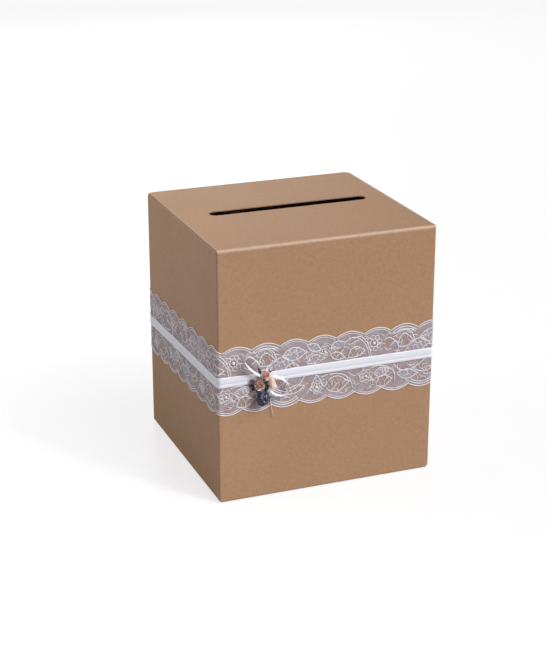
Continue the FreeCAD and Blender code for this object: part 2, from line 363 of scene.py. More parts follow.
@dataclass(frozen=True)
class ThreadFinish:
    """Spun thread: matt, a little uneven in colour, with a fine twist."""

    name: str
    colour: Colour
    shade: Colour
    roughness: float = 0.75
    twist_mm: float = 0.35
    sheen: float = 0.3

    def make(self) -> bpy.types.Material:
        """Build the material.

        Returns:
            The material.
        """
        paint = Paint(self.name)
        where = paint.place()
        patches = paint.noise(where, 6.0, 3.0)
        strands = paint.noise(where, self.twist_mm, 1.0)
        colour = paint.mix(patches.above(0.5, 0.5) * 0.6 + strands * 0.2, self.colour, self.shade)
        normal = paint.bump(strands, 0.08, 0.6)
        return paint.dress(Base_Color=colour, Roughness=self.roughness, Normal=normal,
                           Sheen_Weight=self.sheen)


@dataclass(frozen=True)
class SatinFinish:
    """Satin: bright, smooth along its length, with fine woven ribs and soft puckers."""

    name: str
    colour: Colour
    shade: Colour
    rib_mm: float = 0.45

    def make(self) -> bpy.types.Material:
        """Build the material.

        Returns:
            The material.
        """
        paint = Paint(self.name)
        uv = paint.node("ShaderNodeUVMap", {"uv_map": "along"})
        _, across, _ = paint.axes(uv)
        turns = across * (math.tau / (self.rib_mm * MM))
        ribs = turns.maths("SINE", turns)
        where = paint.node("ShaderNodeMapping", inputs={"Vector": uv, "Scale": (1.0, 6.0, 1.0)})
        puckers = paint.noise(where, 14.0, 3.0)
        threads = paint.noise(where, 1.6, 2.0)
        colour = paint.mix(puckers.above(0.5, 0.5) * 0.5 + threads * 0.2, self.colour, self.shade)
        rough = 0.32 + (threads - 0.5) * 0.12
        normal = paint.bump(ribs * 0.12 + threads * 0.5 + puckers * 1.2, 0.18, 0.5)
        return paint.dress(Base_Color=colour, Roughness=rough, Normal=normal, Sheen_Weight=0.4,
                           Sheen_Roughness=0.35)


@dataclass(frozen=True)
class PetalFinish:
    """Thin paper petals, deep at the heart of the flower and pale at the lip."""

    name: str
    heart: Colour
    lip: Colour
    edge: Colour

    def make(self) -> bpy.types.Material:
        """Build the material.

        Returns:
            The material.
        """
        paint = Paint(self.name)
        where = paint.place()
        bloom = paint.attribute("bloom")
        mottle = paint.noise(where, 1.6, 3.0, 0.6)
        share = (bloom + (mottle - 0.5) * 0.5).above(0.5, 0.8)
        colour = paint.mix(share, self.heart, self.lip)
        colour = paint.mix((bloom + (mottle - 0.5) * 0.3).above(0.86, 0.2) * 0.7, colour, self.edge)
        veins = paint.noise(paint.place((1.0, 1.0, 0.3)), 0.7, 2.0)
        normal = paint.bump(veins, 0.12, 0.7)
        return paint.dress(Base_Color=colour, Roughness=0.62, Normal=normal, Subsurface_Weight=0.12,
                           Subsurface_Radius=(0.002, 0.001, 0.0008), Sheen_Weight=0.25)


@dataclass(frozen=True)
class GlitterFinish:
    """A berry rolled in glitter: dark grains, a few of them pale or bright as metal."""

    name: str
    colour: Colour
    blue: Colour
    bright: Colour

    def make(self) -> bpy.types.Material:
        """Build the material.

        Returns:
            The material.
        """
        paint = Paint(self.name)
        where = paint.place()
        flake = paint.cells(where, 1.3, output="Color")
        pick, tint, _ = paint.axes(flake)
        patch = paint.noise(where, 5.0, 2.0)
        colour = paint.mix(tint.above(0.5, 0.4), self.colour, self.blue)
        shining = (pick + (patch - 0.5) * 0.8).above(0.84, 0.06)
        colour = paint.mix(shining, colour, self.bright)
        rough = 0.5 - shining * 0.3
        normal = paint.bump(pick, 0.25, 0.8)
        return paint.dress(Base_Color=colour, Roughness=rough, Metallic=shining * 0.5, Normal=normal)


@dataclass(frozen=True)
class PlainFinish:
    """A small part's finish: one colour broken up by a soft grain."""

    name: str
    colour: Colour
    shade: Colour
    roughness: float
    grain_mm: float

    def make(self) -> bpy.types.Material:
        """Build the material.

        Returns:
            The material.
        """
        paint = Paint(self.name)
        where = paint.place()
        grain = paint.noise(where, self.grain_mm, 4.0, 0.6)
        colour = paint.mix(grain.above(0.5, 0.5), self.shade, self.colour)
        rough = (grain - 0.5) * 0.2 + self.roughness
        normal = paint.bump(grain, 0.1, 0.5)
        return paint.dress(Base_Color=colour, Roughness=rough, Normal=normal)


# ---------------------------------------------------------------- mesh kit


class Sketch:
    """A mesh in the making, for cloth and thread. Points are given in millimetres."""

    def __init__(self) -> None:
        """Start with nothing."""
        self.points: list[Vector] = []
        self.faces: list[tuple[int, ...]] = []
        self.marks: list[Flat] = []

    def add(self, point: Vector, mark: Flat = (0.0, 0.0)) -> int:
        """Add a point and its place on the cloth.

        Args:
            point: The point, in millimetres.
            mark: How far along and across the cloth it is, in millimetres.

        Returns:
            The point's number.
        """
        self.points.append(point)
        self.marks.append(mark)
        return len(self.points) - 1

    def sweep(self, rings: Sequence[Sequence[Vector]], closed: bool = False) -> None:
        """Join rings of points into a tube.

        Args:
            rings: The rings, each with as many points as the others.
            closed: Whether the last ring meets the first.
        """
        count = len(rings[0])
        numbers = [[self.add(point) for point in ring] for ring in rings]
        pairs = list(zip(numbers[:-1], numbers[1:]))
        if closed:
            pairs.append((numbers[-1], numbers[0]))
        for near, far in pairs:
            for i in range(count):
                j = (i + 1) % count
                self.faces.append((near[i], near[j], far[j], far[i]))
        if not closed:
            self.faces.append(tuple(reversed(numbers[0])))
            self.faces.append(tuple(numbers[-1]))

    def weave(self, rows: Sequence[Sequence[int]]) -> None:
        """Join rows of points into a strip of cloth.

        Args:
            rows: The numbers of the points in each row.
        """
        for near, far in zip(rows[:-1], rows[1:]):
            for j in range(len(near) - 1):
                self.faces.append((near[j], near[j + 1], far[j + 1], far[j]))

    def make(self, name: str, smooth: bool = True) -> bpy.types.Object:
        """Turn the sketch into an object.

        Args:
            name: The object's name.
            smooth: Whether it is shaded smooth.

        Returns:
            The object, at the origin.
        """
        mesh = bpy.data.meshes.new(name)
        mesh.from_pydata([point * MM for point in self.points], [], self.faces)
        layer = mesh.uv_layers.new(name="along")
        for loop in mesh.loops:
            along, across = self.marks[loop.vertex_index]
            layer.data[loop.index].uv = (along * MM, across * MM)
        mesh.polygons.foreach_set("use_smooth", [smooth] * len(mesh.polygons))
        mesh.validate()
        piece = bpy.data.objects.new(name, mesh)
        bpy.context.scene.collection.objects.link(piece)
        return piece


def smooth_line(points: Sequence[Flat], step: float, closed: bool = False) -> list[Flat]:
    """Points along a smooth curve through given points.

    Args:
        points: The points that it passes through.
        step: About how far apart the new points are.
        closed: Whether the curve returns to its start.

    Returns:
        The new points.
    """
    count = len(points)
    spans = count if closed else count - 1
    found: list[Flat] = []
    for i in range(spans):
        if closed:
            a, b, c, d = (points[(i + k) % count] for k in (-1, 0, 1, 2))
        else:
            b, c = points[i], points[i + 1]
            a = points[i - 1] if i else (2 * b[0] - c[0], 2 * b[1] - c[1])
            d = points[i + 2] if i + 2 < count else (2 * c[0] - b[0], 2 * c[1] - b[1])
        pieces = max(2, round(math.dist(b, c) / step))
        for k in range(pieces):
            t = k / pieces
            found.append(tuple(0.5 * (2 * b[n] + (c[n] - a[n]) * t
                                      + (2 * a[n] - 5 * b[n] + 4 * c[n] - d[n]) * t * t
                                      + (3 * b[n] - a[n] - 3 * c[n] + d[n]) * t ** 3) for n in (0, 1)))
    if not closed:
        found.append(tuple(points[-1]))
    return found


def stand_for(piece: bpy.types.Object, node: str) -> None:
    """Let a piece ride on the carton in a node's stead.

    Args:
        piece: The piece.
        node: The node that it replaces.
    """
    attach(piece, CARTON)
    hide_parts(node)
    LOG.info("%s stands for %s, %d faces", piece.name, node, len(piece.data.polygons))


# ---------------------------------------------------------------- the way round the box


@dataclass(frozen=True)
class Girth:
    """The way round the walls, which a band follows. It starts at the front left corner."""

    half_width: float
    half_depth: float
    corner: float
    centre_z: float
    sag: float

    @property
    def quarter(self) -> float:
        """The length of one corner's bend."""
        return math.pi * self.corner / 2

    @property
    def runs(self) -> tuple[float, float]:
        """The straight length of the front and of a side."""
        return 2 * (self.half_width - self.corner), 2 * (self.half_depth - self.corner)

    @property
    def length(self) -> float:
        """The whole way round."""
        return 2 * sum(self.runs) + 4 * self.quarter

    @property
    def back_middle(self) -> float:
        """How far along the middle of the back wall is."""
        front, side = self.runs
        return front * 1.5 + side + self.quarter * 2.5

    def drop(self, way: float) -> float:
        """How far the band has slipped down: most at the back left corner, none at the front and right.

        Args:
            way: How far along the band.

        Returns:
            The drop.
        """
        front, side = self.runs
        corner = -(side + self.quarter)
        if way < corner:
            return self.sag * (0.5 + 0.5 * (way - (self.back_middle - self.length)) / (front / 2))
        if way < 0:
            return self.sag * way / corner
        rise = way - (self.back_middle - front / 2)
        return self.sag * 0.5 * min(1.0, max(0.0, rise / (front / 2)))

    def at(self, way: float, up: float, lift: float) -> Vector:
        """A place on the band.

        Args:
            way: How far along it is.
            up: How far above the band's middle line.
            lift: How far it stands off the wall.

        Returns:
            The point, in millimetres.
        """
        point, out = self.outline(way)
        return Vector((point[0] + out[0] * lift, point[1] + out[1] * lift,
                       self.centre_z + up - self.drop(way)))

    def outline(self, way: float) -> tuple[Flat, Flat]:
        """The wall's outline.

        Args:
            way: How far along it is.

        Returns:
            The point on the wall and the direction straight out of it.
        """
        rest = (way + self.quarter / 2) % self.length
        x, y = self.half_width - self.corner, self.half_depth - self.corner
        centres = ((-x, -y), (x, -y), (x, y), (-x, y))
        for turn, centre in enumerate(centres):
            if rest <= self.quarter:
                angle = math.pi + math.pi / 2 * (turn + rest / self.quarter)
                out = (math.cos(angle), math.sin(angle))
                return (centre[0] + out[0] * self.corner, centre[1] + out[1] * self.corner), out
            rest -= self.quarter
            run = self.runs[turn % 2]
            angle = math.pi * 1.5 + math.pi / 2 * turn
            out = (math.cos(angle), math.sin(angle))
            if rest <= run:
                return (centre[0] + out[0] * self.corner - out[1] * rest,
                        centre[1] + out[1] * self.corner + out[0] * rest), out
            rest -= run
        return self.outline(0.0)


# ---------------------------------------------------------------- lace


@dataclass(frozen=True)
class Stroke:
    """One thread laid on the net: the points that it passes through and its width."""

    points: tuple[Flat, ...]
    width: float = 0.9
    closed: bool = False


@dataclass(frozen=True)
class Patch:
    """An oval of the net that is worked closer or left open."""

    centre: Flat
    radii: Flat
    angle: float
    thread: float

    def holds(self, way: float, up: float) -> bool:
        """Tell whether a place is in the oval.

        Args:
            way: How far along the lace.
            up: How far above its middle line.

        Returns:
            Whether it is.
        """
        turn = math.radians(self.angle)
        dx, dy = way - self.centre[0], up - self.centre[1]
        along = dx * math.cos(turn) + dy * math.sin(turn)
        across = dy * math.cos(turn) - dx * math.sin(turn)
        return (along / self.radii[0]) ** 2 + (across / self.radii[1]) ** 2 < 1


@dataclass
class LacePattern:
    """One repeat of the lace: scallops, flowers, leaves and branches."""

    repeat: float
    height: float
    scallops: int = 5
    corded: int = 1
    scallop_depth: float = 5.5
    top_valley: float = 4.5
    bottom_valley: float = 27.0
    net_thread: float = 0.52
    flower_thread: float = 0.22
    petal_thread: float = 0.7
    leaf_thread: float = 0.75
    open_thread: float = 0.3
    eyelet_thread: float = 0.4
    filled_thread: float = 0.62
    cord: float = 1.05
    fine: float = 0.75
    vein: float = 0.45
    tendril_count: int = 190
    seed: int = 3
    strokes: list[Stroke] = field(default_factory=list)
    patches: list[Patch] = field(default_factory=list)
    beads: list[tuple[Flat, float]] = field(default_factory=list)
    known: dict[Flat, float] = field(default_factory=dict)

    def __post_init__(self) -> None:
        """Draw the repeat."""
        self.upper_row()
        self.lower_row()
        self.tendrils()

    @property
    def pitch(self) -> float:
        """The width of one scallop."""
        return self.repeat / self.scallops

    def edge(self, way: float, top: bool) -> float:
        """How far the scalloped edge is from the middle line.

        Args:
            way: How far along the band.
            top: Whether it is the top edge.

        Returns:
            The distance, positive for both edges.
        """
        valley = self.top_valley if top else self.bottom_valley
        share = ((way - valley) / self.pitch) % 1.0
        return self.height / 2 - self.scallop_depth * (2 * share - 1) ** 2

    def scallop(self, number: int, top: bool, inset: float, width: float) -> Stroke:
        """A thread that follows one scallop inside the edge.

        Args:
            number: Which scallop, counted from the first valley.
            top: Whether it is on the top edge.
            inset: How far inside the edge it is.
            width: The thread's width.

        Returns:
            The thread.
        """
        valley = self.top_valley if top else self.bottom_valley
        sign = 1 if top else -1
        points = []
        for i in range(9):
            share = i / 8
            way = valley + (number + 0.5 + (share - 0.5) * (1 - inset / self.pitch)) * self.pitch
            reach = self.height / 2 - inset - (self.scallop_depth - inset * 0.1) * (2 * share - 1) ** 2
            points.append((way, sign * reach))
        return Stroke(tuple(points), width)

    def border(self, top: bool) -> None:
        """Draw the threads inside one edge: two cords in one scallop, a fine thread in each of the others.

        Args:
            top: Whether it is the top edge.
        """
        for inset in (3.0, 5.6):
            self.strokes.append(self.scallop(self.corded, top, inset, self.cord))
        for number in range(self.scallops):
            if number != self.corded:
                self.strokes.append(self.scallop(number, top, 2.2, self.fine))

    def flower(self, centre: Flat, petals: int, size: float, button: float) -> None:
        """A flower: a button, a ring of knots and a ring of petals.

        Args:
            centre: Its middle.
            petals: How many petals it has.
            size: The distance from its middle to a petal's tip.
            button: The button's radius.
        """
        x, y = centre
        self.beads.append((centre, button))
        self.patches.append(Patch(centre, (size, size), 0, self.flower_thread))
        for i in range(petals):
            turn = math.tau * (i + 0.3) / petals
            ux, uy = math.cos(turn), math.sin(turn)
            self.beads.append(((x + ux * size * 0.45, y + uy * size * 0.45), button * 0.42))
            half = size * 0.36
            outline = [(0.42, 0.0), (0.72, 0.95), (1.0, 0.0), (0.72, -0.95)]
            points = tuple((x + ux * size * a - uy * half * b, y + uy * size * a + ux * half * b)
                           for a, b in outline)
            self.strokes.append(Stroke(points, self.fine, True))
            self.patches.append(Patch((x + ux * size * 0.72, y + uy * size * 0.72), (size * 0.3, half * 0.8),
                                      math.degrees(turn), self.petal_thread))

    def leaf(self, base: Flat, tip: Flat, left: float, right: float, open_work: bool = False,
             veins: int = 4) -> None:
        """A leaf: its outline, its rib, and the threads across it.

        Args:
            base: Where it starts.
            tip: Where it ends.
            left: How far its left side bulges.
            right: How far its right side bulges.
            open_work: Whether the net inside it is worked with a thinner, more open thread.
            veins: How many threads cross it.
        """
        (x0, y0), (x1, y1) = base, tip
        dx, dy = x1 - x0, y1 - y0
        length = math.hypot(dx, dy)
        nx, ny = -dy / length, dx / length

        def beside(share: float, bulge: float) -> Flat:
            """A place part of the way along the rib and off to its left."""
            return x0 + dx * share + nx * bulge, y0 + dy * share + ny * bulge

        outline = (base, beside(0.28, left * 0.9), beside(0.6, left), tip,
                   beside(0.6, -right), beside(0.28, -right * 0.9))
        self.strokes.append(Stroke(outline[:4], self.cord))
        self.strokes.append(Stroke((tip, *outline[4:], base), self.cord))
        for i in range(veins):
            share = (i + 1) / (veins + 1)
            width = math.sin(math.pi * share) ** 0.7
            self.strokes.append(Stroke((beside(share - 0.06, left * width * 0.85), beside(share + 0.04, 0.0),
                                        beside(share - 0.06, -right * width * 0.85)), self.vein))
        middle = beside(0.5, (left - right) / 2)
        thread = self.open_thread if open_work else self.leaf_thread
        angle = math.degrees(math.atan2(dy, dx))
        self.patches.append(Patch(middle, (length * 0.44, (left + right) * 0.42), angle, thread))

    def branch(self, *points: Flat, width: float | None = None) -> None:
        """A thread that wanders between the flowers."""
        self.strokes.append(Stroke(points, width or self.cord))

    def tendrils(self) -> None:
        """Fill the ground between the flowers with short curled threads, each with an eyelet beside it."""
        draw = random.Random(self.seed)
        for _ in range(self.tendril_count):
            way, up = draw.uniform(0, self.repeat), draw.choice((-1, 1)) * draw.uniform(8, 32)
            turn, bend = draw.uniform(0, math.tau), draw.choice((-1, 1)) * draw.uniform(0.25, 0.8)
            step = draw.uniform(2.0, 3.6)
            points = [(way, up)]
            for _ in range(draw.randint(2, 4)):
                way, up = way + step * math.cos(turn), up + step * math.sin(turn)
                turn += bend
                if 7 < abs(up) < self.height / 2 - 5:
                    points.append((way, up))
            if len(points) > 2:
                self.strokes.append(Stroke(tuple(points), draw.uniform(0.4, 0.85)))
                gap = (points[1][0] + draw.uniform(-1, 1), points[1][1] + 1.6)
                self.patches.insert(0, Patch(gap, (draw.uniform(1.4, 3.0), 1.3), math.degrees(turn),
                                             self.eyelet_thread))

    def upper_row(self) -> None:
        """Draw what lies above the ribbon."""
        self.flower((17, 21), 8, 9.5, 2.1)
        self.flower((123, 19), 7, 7.5, 1.7)
        self.branch((-9, 29), (0, 31), (7, 25), (12, 15), (14, 5))
        self.branch((28, 22), (35, 25), (43, 20), (47, 12), (44, 5))
        self.branch((43, 24), (47, 30), (56, 31.5), (63, 27), (66, 18))
        self.leaf((45, 14), (66, 17), 11, 3, open_work=True, veins=2)
        self.leaf((54, 5), (92, 6), 13, 0.5, veins=6)
        self.leaf((76, 5), (94, 5), 5.5, 0.5, open_work=True, veins=2)
        self.leaf((72, 20), (102, 22), 7.5, 6, veins=7)
        self.leaf((118, 22), (101, 30), 4, 4, veins=3)
        self.leaf((117, 16), (101, 8), 4, 4, veins=3)
        self.leaf((129, 22), (147, 27), 4.5, 3.5, veins=3)
        self.leaf((129, 15), (147, 9), 4, 4, open_work=True, veins=3)
        self.branch((140, 20), (148, 28), (158, 31), (168, 25), (174, 14), (176, 5))
        self.leaf((150, 9), (171, 14), 8, 3, open_work=True, veins=3)
        self.branch((100, 14), (108, 19), (115, 19), width=self.fine)
        self.border(top=True)
        self.patches.append(Patch((88, 32), (12, 4), 0, self.filled_thread))

    def lower_row(self) -> None:
        """Draw what lies below the ribbon."""
        self.flower((8, -17), 7, 8.5, 1.8)
        self.flower((113, -21), 6, 7.5, 2.0)
        self.leaf((17, -15), (36, -12), 4, 6, veins=3)
        self.leaf((20, -30), (40, -24), 8, 4, open_work=True, veins=3)
        self.branch((13, -8), (22, -6.5), (33, -9), (42, -17), (43, -27))
        self.branch((41, -7), (48, -14), (58, -17), (70, -13), (80, -6))
        self.leaf((45, -19), (72, -22), 4, 6, veins=5)
        self.branch((66, -17), (78, -21), (90, -17), (97, -9), (99, -5))
        self.leaf((78, -24), (99, -17), 5, 3, open_work=True, veins=3)
        self.branch((101, -27), (107, -19), (113, -7), (120, -19), (128, -28))
        self.branch((118, -10), (129, -8), (143, -10), (153, -18), (156, -28))
        self.leaf((122, -22), (152, -20), 9, 8, open_work=True, veins=6)
        self.branch((150, -8), (158, -14), (166, -11), (170, -6), width=self.fine)
        self.border(top=False)
        self.patches.append(Patch((135, -33), (15, 4), 0, self.filled_thread))
        self.patches.append(Patch((50, -32), (10, 3.5), 0, self.filled_thread))

    def thread_at(self, way: float, up: float) -> float:
        """The width of the net's thread at a place, worked out once for all repeats.

        Args:
            way: How far along the band.
            up: How far above its middle line.

        Returns:
            The width.
        """
        spot = (round(way % self.repeat, 2), round(up, 2))
        if spot not in self.known:
            self.known[spot] = self.thread_drawn(*spot)
        return self.known[spot]

    def thread_drawn(self, way: float, up: float) -> float:
        """The width of the net's thread at a place in the repeat: a patch's own, or else a little uneven.

        Args:
            way: How far along the repeat.
            up: How far above the middle line.

        Returns:
            The width.
        """
        for patch in reversed(self.patches):
            for shift in (-self.repeat, 0.0, self.repeat):
                if patch.holds(way + shift, up):
                    return patch.thread
        unevenness = noise.noise(Vector((way * 0.13, up * 0.2, 3.7)))
        return self.net_thread * (1.0 + 0.9 * max(-0.4, min(0.4, unevenness)))


@dataclass
class LaceBand:
    """The lace round the box: a net of fine thread with cords laid over it."""

    girth: Girth
    height: float
    cell: float = 1.8
    net_lift: float = 0.35
    cord_lift: float = 0.6
    stretch_from: float = 27.0
    cord_step: float = 1.3
    edge_cord: float = 1.15
    edge_step: float = 1.1
    parts: int = 6
    repeats: int = 6

    def __post_init__(self) -> None:
        """Draw one repeat of the lace, and find where the band starts."""
        self.pattern = LacePattern(self.girth.length / self.repeats, self.height)
        self.start = self.girth.back_middle - self.girth.length

    def settle(self, way: float, up: float) -> float:
        """Draw the net's outer rows in to the scalloped edge, and leave the inner ones where they are.

        Args:
            way: How far along the band a point is.
            up: How far above its middle line the point would be in a straight net.

        Returns:
            How far above the middle line it is.
        """
        edge = self.pattern.edge(way, up > 0)
        size = abs(up)
        if size <= self.stretch_from:
            return up
        share = (size - self.stretch_from) / (self.height / 2 - self.stretch_from)
        return math.copysign(self.stretch_from + share * (edge - self.stretch_from), up)

    def build(self) -> None:
        """Build the net and its cords, part by part round the box."""
        thread = ThreadFinish("lace thread", (0.59, 0.55, 0.66), (0.45, 0.42, 0.52)).make()
        cord = ThreadFinish("lace cord", (0.95, 0.90, 0.92), (0.86, 0.80, 0.84), 0.65).make()
        span = self.girth.length / self.parts
        for number in range(self.parts):
            low = self.start + number * span
            high = low + span
            net = self.net(low, high).make(f"lace_net_{number + 1}", smooth=False)
            net.data.materials.append(thread)
            cords = self.cords(low, high).make(f"lace_cords_{number + 1}")
            cords.data.materials.append(cord)
            for piece in (net, cords):
                stand_for(piece, "lace_band")
            thread_area = sum(face.area for face in net.data.polygons)
            flat = (self.height * MM, span * MM)
            share = thread_area / (flat[0] * flat[1])
            LOG.info("the net of part %d covers %.2f of its ground", number + 1, share)
            flat[0] * flat[1] * max(0.3, share)

    def net(self, low: float, high: float) -> Sketch:
        """A net of six-sided cells, each thread as wide as the pattern asks.

        Args:
            low: Where this part of the band starts.
            high: Where it ends.

        Returns:
            The net.
        """
        sketch = Sketch()
        columns = round((high - low) / self.cell)
        width = (high - low) / columns
        rise = width * math.sqrt(3) / 2
        rows = int(self.height / rise) + 1
        arm = rise * 2 / 3
        corners: dict[tuple[int, int, bool, int], int] = {}

        def place(column: int, row: int, upper: bool) -> Flat:
            """Where a cell's lower or upper knot is."""
            way = low + (column + 0.5 * (row % 2)) * width
            return way, -self.height / 2 + row * rise + (arm if upper else 0.0)

        def corner(column: int, row: int, upper: bool, angle: int) -> int:
            """One corner of a knot, added to the sketch the first time that it is asked for.

            Args:
                column: The knot's column.
                row: Its row.
                upper: Whether it is the row's upper knot.
                angle: Which corner, in degrees.

            Returns:
                The corner's number.
            """
            key = (column, row, upper, angle)
            if key not in corners:
                way, up = place(column, row, upper)
                reach = self.pattern.thread_at(way, up) / math.sqrt(3)
                turn = math.radians(angle)
                way += reach * math.cos(turn)
                up = max(-self.height / 2, min(self.height / 2, up + reach * math.sin(turn)))
                up = self.settle(way, up)
                corners[key] = sketch.add(self.girth.at(way, up, self.net_lift), (way, up))
            return corners[key]

        for row in range(rows):
            for column in range(columns):
                way, up = place(column, row, False)
                if up > self.height / 2 or not self.pattern.thread_at(way, up):
                    continue
                lower = (column, row, False)
                sketch.faces.append(tuple(corner(*lower, angle) for angle in (30, 150, 270)))
                left = column - 1 + row % 2
                joins = (
                    ((column, row, True), (30, 150), (330, 210)),
                    ((left, row - 1, True), (150, 270), (90, 330)),
                    ((left + 1, row - 1, True), (270, 30), (210, 90)),
                )
                for other, near, far in joins:
                    far_way, far_up = place(*other)
                    inside = other[1] >= 0 and abs(far_up) <= self.height / 2
                    if not inside or not self.pattern.thread_at(far_way, far_up):
                        continue
                    a, b = (corner(*lower, angle) for angle in near)
                    c, d = (corner(*other, angle) for angle in far)
                    sketch.faces.append((a, c, d, b))
            for column in range(columns):
                way, up = place(column, row, True)
                if up <= self.height / 2 and self.pattern.thread_at(way, up):
                    sketch.faces.append(tuple(corner(column, row, True, angle) for angle in (90, 210, 330)))
        return sketch

    def cords(self, low: float, high: float) -> Sketch:
        """The cords, knots and edges laid on the net.

        Args:
            low: Where this part of the band starts.
            high: Where it ends.

        Returns:
            The cords.
        """
        sketch = Sketch()
        repeat = self.pattern.repeat
        first = math.floor(low / repeat) - 1
        last = math.ceil(high / repeat) + 1
        for number in range(first, last + 1):
            shift = number * repeat
            for stroke in self.pattern.strokes:
                line = smooth_line(stroke.points, self.cord_step, stroke.closed)
                self.lay(sketch, [(way + shift, up) for way, up in line], stroke, low, high)
            for (way, up), radius in self.pattern.beads:
                if low <= way + shift < high:
                    self.knot(sketch, (way + shift, up), radius)
        steps = round((high - low) / self.edge_step)
        ways = [low + (high - low) * i / steps for i in range(steps + 1)]
        for top in (True, False):
            sign = 1 if top else -1
            self.tube(sketch, [(way, sign * self.pattern.edge(way, top)) for way in ways], self.edge_cord)
        return sketch

    def lay(self, sketch: Sketch, line: list[Flat], stroke: Stroke, low: float, high: float) -> None:
        """Lay as much of one thread as lies in this part of the band.

        Args:
            sketch: The sketch that takes the thread.
            line: Points along it.
            stroke: The thread.
            low: Where the part starts.
            high: Where it ends.
        """
        inside = [low <= way <= high for way, _ in line]
        if all(inside):
            self.tube(sketch, line, stroke.width, stroke.closed)
            return
        run: list[Flat] = []
        for point, holds in zip(line + line[:1] * stroke.closed, inside + inside[:1] * stroke.closed):
            if holds:
                run.append(point)
            else:
                if len(run) > 1:
                    self.tube(sketch, run, stroke.width)
                run = []
        if len(run) > 1:
            self.tube(sketch, run, stroke.width)

    def tube(self, sketch: Sketch, line: list[Flat], width: float, closed: bool = False) -> None:
        """Lay one thread along a line on the band.

        Args:
            sketch: The sketch that takes the thread.
            line: Points along it.
            width: Its width.
            closed: Whether it returns to its start.
        """
        rings = []
        count = len(line)
        for i, (way, up) in enumerate(line):
            before = line[(i - 1) % count] if closed or i else line[i]
            after = line[(i + 1) % count] if closed or i + 1 < count else line[i]
            dx, dy = after[0] - before[0], after[1] - before[1]
            size = math.hypot(dx, dy) or 1.0
            side = (-dy / size * width / 2, dx / size * width / 2)
            ring = []
            for across, height in ((-1.0, -0.1), (-0.6, 0.75), (0.6, 0.75), (1.0, -0.1)):
                ring.append(self.girth.at(way + side[0] * across, up + side[1] * across,
                                          self.cord_lift + width * 0.35 * height))
            rings.append(ring)
        sketch.sweep(rings, closed)

    def knot(self, sketch: Sketch, centre: Flat, radius: float) -> None:
        """Work one raised knot or button.

        Args:
            sketch: The sketch that takes it.
            centre: Its middle.
            radius: Its radius.
        """
        levels = ((1.0, 0.0), (0.8, 0.32), (0.45, 0.5))
        around = 8 if radius > 1.2 else 6
        way, up = centre
        rings = []
        for share, height in levels:
            rings.append([self.girth.at(way + radius * share * math.cos(math.tau * i / around),
                                        up + radius * share * math.sin(math.tau * i / around),
                                        self.cord_lift + radius * height) for i in range(around)])
        sketch.sweep(rings)


# ---------------------------------------------------------------- modelling by hand


def shaped(add: Callable[..., object], **settings: object) -> bpy.types.Object:
    """Add one plain shape.

    Args:
        add: The operator that adds it.
        settings: The operator's settings.

    Returns:
        The shape.
    """
    bpy.ops.object.select_all(action="DESELECT")
    add(**settings)
    return bpy.context.object


def alone(piece: bpy.types.Object) -> None:
    """Select one object only, and make it the active one.

    Args:
        piece: The object.
    """
    if bpy.context.object and bpy.context.object.mode != "OBJECT":
        bpy.ops.object.mode_set(mode="OBJECT")
    bpy.ops.object.select_all(action="DESELECT")
    piece.select_set(True)
    bpy.context.view_layer.objects.active = piece


def pick(piece: bpy.types.Object, wanted: Callable[[Vector], bool]) -> None:
    """Select the points of a mesh that lie in a place, and go to edit mode.

    Args:
        piece: The object.
        wanted: Whether a point is picked.
    """
    alone(piece)
    bpy.ops.object.mode_set(mode="EDIT")
    bpy.ops.mesh.select_mode(type="VERT")
    bpy.ops.mesh.select_all(action="DESELECT")
    sculpt = bmesh.from_edit_mesh(piece.data)
    for vertex in sculpt.verts:
        vertex.select_set(wanted(vertex.co))
    sculpt.select_flush_mode()
    bmesh.update_edit_mesh(piece.data)


def finish_with(piece: bpy.types.Object, kind: str, **settings: object) -> None:
    """Add a modifier and apply it.

    Args:
        piece: The object.
        kind: The modifier's type.
        settings: Its properties.
    """
    alone(piece)
    modifier = piece.modifiers.new(kind.lower(), kind)
    for name, value in settings.items():
        setattr(modifier, name, value)
    bpy.ops.object.modifier_apply(modifier=modifier.name)


def subdivided(piece: bpy.types.Object, levels: int) -> None:
    """Smooth a piece with a subdivision surface."""
    finish_with(piece, "SUBSURF", levels=levels, render_levels=levels)
    bpy.ops.object.shade_smooth()


def copied(piece: bpy.types.Object, place: Matrix) -> bpy.types.Object:
    """Copy a piece with its mesh.

    Args:
        piece: The piece.
        place: Where the copy goes.

    Returns:
        The copy.
    """
    twin = piece.copy()
    twin.data = piece.data.copy()
    twin.data.transform(place)
    bpy.context.scene.collection.objects.link(twin)
    return twin


def joined(pieces: Sequence[bpy.types.Object], name: str) -> bpy.types.Object:
    """Join pieces into one object.

    Args:
        pieces: The pieces, of which the first stays.
        name: The object's new name.

    Returns:
        The object.
    """
    alone(pieces[0])
    for piece in pieces:
        piece.select_set(True)
    bpy.ops.object.join()
    whole = bpy.context.object
    whole.name = name
    whole.data.name = name
    return whole


def discard(piece: bpy.types.Object) -> None:
    """Delete a model that was only there to be copied."""
    alone(piece)
    bpy.ops.object.delete()


def note_bloom(piece: bpy.types.Object, measure: Callable[[Vector], float]) -> None:
    """Write how far each point of a flower is from its heart, for its finish to read.

    Args:
        piece: The flower.
        measure: How far a point is, from 0 to 1.
    """
    layer = piece.data.attributes.new("bloom", "FLOAT", "POINT")
    for vertex in piece.data.vertices:
        layer.data[vertex.index].value = measure(vertex.co)


def aimed(axis: Vector) -> Matrix:
    """The turn that brings +Z to an axis."""
    return axis.to_track_quat("Z", "Y").to_matrix().to_4x4()


# ---------------------------------------------------------------- ribbon and bow


